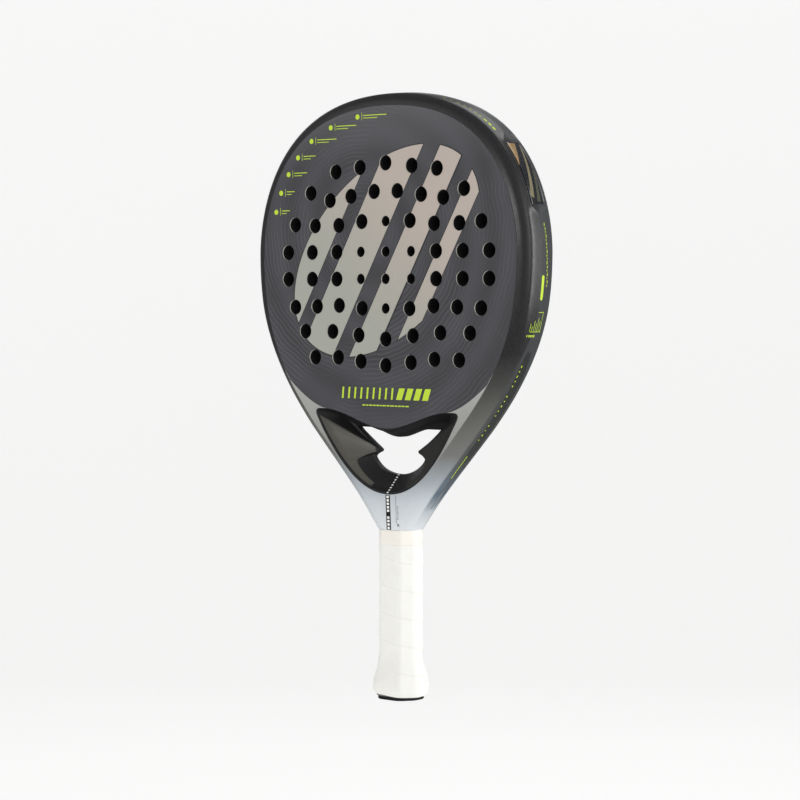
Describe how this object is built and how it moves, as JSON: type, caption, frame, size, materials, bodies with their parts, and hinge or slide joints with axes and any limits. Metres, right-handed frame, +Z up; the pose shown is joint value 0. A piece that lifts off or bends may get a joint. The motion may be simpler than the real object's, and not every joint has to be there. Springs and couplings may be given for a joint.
{
  "type": "padel racket",
  "caption": "Solid-faced paddle for padel with a drilled teardrop head, an open throat with a spurred insert, a wrapped straight handle and a flared butt",
  "frame": {"origin": "centre of the butt end, on its flat bottom", "axes": "+Z up the racket from the butt to the crown, X across the face, Y through the thickness with the front face towards -Y"},
  "size_m": [0.2598, 0.0392, 0.4549],
  "materials": {
    "frame_paint": "satin lacquer on laminate, black on the head fading through grey to pale blue-white at the neck",
    "face_sheet": "satin slate-grey laminate with a faint swirled relief and printed marks",
    "dark_foam": "black closed-cell foam",
    "pale_foam": "rigid pale foam",
    "bare_laminate": "bare carbon laminate",
    "insert_plastic": "satin black moulded plastic",
    "strip_film": "dark film with lime dots",
    "panel_film": "glossy dark panel with slanted olive slivers",
    "label_film": "printed film, black with white squares",
    "cushion": "foamed rubber cushion grip",
    "overgrip": "white, slightly tacky wrapped overgrip",
    "tape": "cream finishing tape",
    "cap_plastic": "black moulded butt cap",
    "tack_steel": "plain steel"
  },
  "bodies": {
    "root": {"frame_tube": "frame_paint", "bridge_tube": "bare_laminate", "bridge_core": "pale_foam", "foam_core": "dark_foam", "face_front": "face_sheet", "face_back": "face_sheet", "throat_insert_front": "insert_plastic", "throat_insert_back": "insert_plastic", "side_strip_right": "strip_film", "side_strip_left": "strip_film", "shoulder_panel_right": "panel_film", "shoulder_panel_left": "panel_film", "neck_label": "label_film", "handle_tube": "bare_laminate", "handle_core": "pale_foam", "base_grip": "cushion", "overgrip": "overgrip", "finishing_tape": "tape", "butt_cap": "cap_plastic", "cap_tacks": "tack_steel"}
  },
  "joints": []
}
